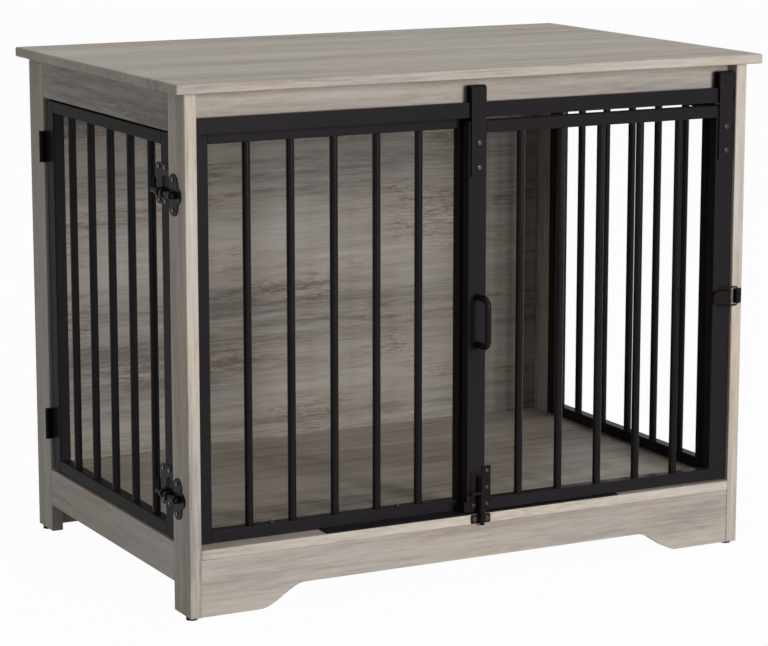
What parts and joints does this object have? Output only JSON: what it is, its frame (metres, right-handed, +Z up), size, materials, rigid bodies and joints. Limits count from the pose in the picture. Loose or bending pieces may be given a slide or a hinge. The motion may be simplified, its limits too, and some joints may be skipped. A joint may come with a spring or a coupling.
{
  "type": "dog crate end table",
  "caption": "Wooden end-table dog crate with barred metal panels, a hinged side door and a barn-style sliding front door hung on rollers.",
  "frame": {"origin": "on the floor under the middle of the overall footprint", "axes": "+X to the viewer's right along the length, +Y from the front to the back, +Z up from the floor to the table top"},
  "size_m": [0.8, 0.5364, 0.636],
  "materials": {
    "greige_board": "matt weathered grey-brown wood grain laminate",
    "black_steel": "satin black powder coat",
    "black_hardware": "semi-gloss black paint",
    "black_screw": "dark plated steel",
    "black_nylon": "matt black nylon"
  },
  "bodies": {
    "cabinet": {"table_top": "greige_board", "left_front_stile": "greige_board", "left_rear_stile": "greige_board", "left_top_rail": "greige_board", "left_bottom_rail": "greige_board", "right_front_stile": "greige_board", "right_rear_stile": "greige_board", "right_top_rail": "greige_board", "right_bottom_rail": "greige_board", "carcass_screws": "black_screw", "back_panel": "greige_board", "rear_apron": "greige_board", "floor_board": "greige_board", "front_apron": "greige_board", "fascia_rail": "greige_board", "glides": "black_nylon", "track_rail": "black_steel", "track_screws": "black_screw", "front_grille_frame": "black_steel", "front_grille_bars": "black_steel", "front_grille_screws": "black_screw", "floor_strip": "black_steel", "right_grille_frame": "black_steel", "right_grille_bars": "black_steel", "right_grille_screws": "black_screw", "hinge_post_leaves": "black_hardware", "hinge_pins": "black_hardware", "hinge_post_screws": "black_screw", "upper_keeper": "black_hardware", "lower_keeper": "black_hardware", "floor_keeper": "black_hardware", "keeper_screws": "black_screw", "toggle_catch": "black_hardware", "catch_screws": "black_screw"},
    "sliding_door": {"sliding_door_frame": "black_steel", "sliding_door_bars": "black_steel", "hanger_straps": "black_steel", "roller_axles": "black_hardware", "hanger_screws": "black_screw", "door_handle": "black_steel", "handle_screws": "black_screw", "floor_bolt_plate": "black_hardware", "floor_bolt_screws": "black_screw", "toggle_base": "black_hardware", "toggle_pin": "black_hardware"},
    "left_roller": {"left_roller": "black_nylon"},
    "right_roller": {"right_roller": "black_nylon"},
    "floor_bolt": {"floor_bolt": "black_hardware"},
    "toggle_lever": {"toggle_lever": "black_hardware"},
    "toggle_loop": {"toggle_loop": "black_hardware"},
    "side_door": {"side_door_frame": "black_steel", "side_door_bars": "black_steel", "hinge_door_leaves": "black_hardware", "hinge_door_screws": "black_screw", "upper_latch_plate": "black_hardware", "lower_latch_plate": "black_hardware", "side_latch_screws": "black_screw"},
    "upper_bolt": {"upper_latch_bolt": "black_hardware"},
    "lower_bolt": {"lower_latch_bolt": "black_hardware"}
  },
  "joints": [
    {"name": "door_slide", "type": "slide", "parent": "cabinet", "child": "sliding_door", "axis": [-1, 0, 0], "range_m": [0, 0.352]},
    {"name": "left_roller_spin", "type": "hinge", "parent": "sliding_door", "child": "left_roller", "pos_m": [0.0005, -0.23225, 0.6017], "axis": [0, -1, 0], "range_deg": [0, 2690]},
    {"name": "right_roller_spin", "type": "hinge", "parent": "sliding_door", "child": "right_roller", "pos_m": [0.3565, -0.23225, 0.6017], "axis": [0, -1, 0], "range_deg": [0, 2690]},
    {"name": "floor_bolt_lift", "type": "slide", "parent": "sliding_door", "child": "floor_bolt", "axis": [0, 0, 1], "range_m": [0, 0.02]},
    {"name": "lever_swing", "type": "hinge", "parent": "sliding_door", "child": "toggle_lever", "pos_m": [0.361, -0.24475, 0.3285], "axis": [0, 0, 1], "range_deg": [0, 90]},
    {"name": "loop_swing", "type": "hinge", "parent": "toggle_lever", "child": "toggle_loop", "pos_m": [0.355, -0.24475, 0.3285], "axis": [0, 0, 1], "range_deg": [-73, 0]},
    {"name": "side_door_swing", "type": "hinge", "parent": "cabinet", "child": "side_door", "pos_m": [-0.3886, 0.20975, 0.3315], "axis": [0, 0, -1], "range_deg": [0, 170]},
    {"name": "upper_bolt_slide", "type": "slide", "parent": "side_door", "child": "upper_bolt", "axis": [0, 1, 0], "range_m": [0, 0.03]},
    {"name": "lower_bolt_slide", "type": "slide", "parent": "side_door", "child": "lower_bolt", "axis": [0, 1, 0], "range_m": [0, 0.03]}
  ],
  "couplings": [
    {"joint": "left_roller_spin", "follows": "door_slide", "rad_per_m": 133.33},
    {"joint": "right_roller_spin", "follows": "door_slide", "rad_per_m": 133.33},
    {"joint": "loop_swing", "follows": "lever_swing", "ratio": -0.8}
  ]
}
